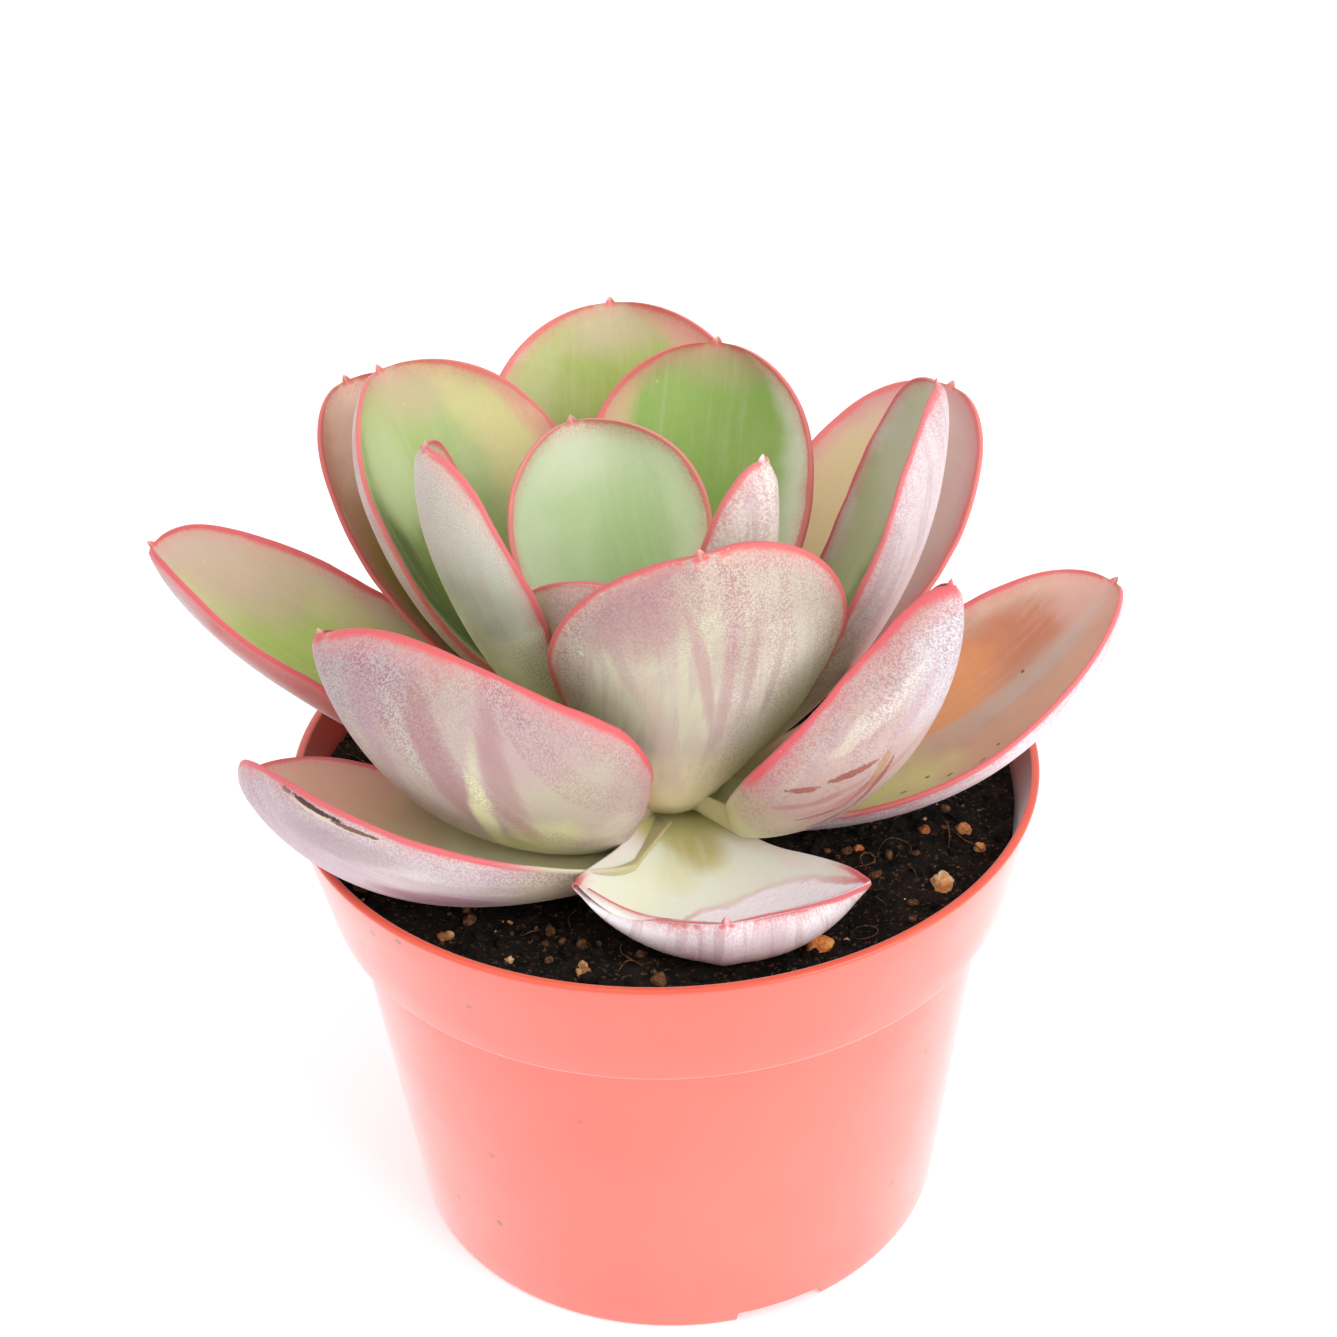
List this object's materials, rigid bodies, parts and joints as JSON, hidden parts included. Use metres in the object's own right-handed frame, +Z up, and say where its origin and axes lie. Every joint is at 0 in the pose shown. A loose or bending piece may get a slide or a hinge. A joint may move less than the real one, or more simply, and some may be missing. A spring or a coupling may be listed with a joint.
{
  "type": "potted succulent",
  "caption": "Succulent rosette of thick cupped leaves on a short stem, growing in dark gritty soil in a round tapered plastic nursery pot with a rim collar.",
  "frame": {"origin": "on the surface the pot stands on, under the middle of the whole plant's plan outline", "axes": "+Z up, -Y towards the front of the plant, +X to the right seen from the front, along the widest spread of the leaves"},
  "size_m": [0.1331, 0.1058, 0.1273],
  "materials": {
    "terracotta_plastic": "semi-matte moulded polypropylene, salmon terracotta",
    "peat": "damp dark peat mix, fibrous and rough",
    "stem_skin": "pale green fleshy stem with leaf scars",
    "leaf_green": "waxy satin leaf skin, green with coral margins",
    "leaf_blush": "waxy satin leaf skin, lilac-grey with cream stripes and coral margins",
    "pumice": "rough porous pumice and grit"
  },
  "bodies": {
    "root": {"pot": "terracotta_plastic", "soil": "peat", "stem": "stem_skin", "leaf_outer_left": "leaf_green", "leaf_drooping_left": "leaf_blush", "leaf_drooping_front": "leaf_blush", "leaf_outer_right": "leaf_blush", "leaf_low_back_right": "leaf_green", "leaf_low_back_left": "leaf_green", "leaf_back_left": "leaf_green", "leaf_front_left": "leaf_blush", "leaf_front_right": "leaf_blush", "leaf_back_right": "leaf_green", "leaf_back": "leaf_green", "leaf_mid_left": "leaf_green", "leaf_mid_right": "leaf_blush", "leaf_front": "leaf_blush", "leaf_mid_back": "leaf_green", "leaf_inner_left": "leaf_blush", "leaf_inner_back": "leaf_green", "leaf_inner_front": "leaf_blush", "leaf_inner_right": "leaf_blush", "leaf_heart_left": "leaf_green", "leaf_heart_back": "leaf_green", "leaf_heart_right": "leaf_green", "grit_1": "pumice", "grit_2": "pumice", "grit_3": "pumice", "grit_4": "pumice", "grit_5": "pumice", "grit_6": "pumice", "grit_7": "pumice", "grit_8": "pumice", "grit_9": "pumice", "grit_10": "pumice", "grit_11": "pumice"}
  },
  "joints": []
}
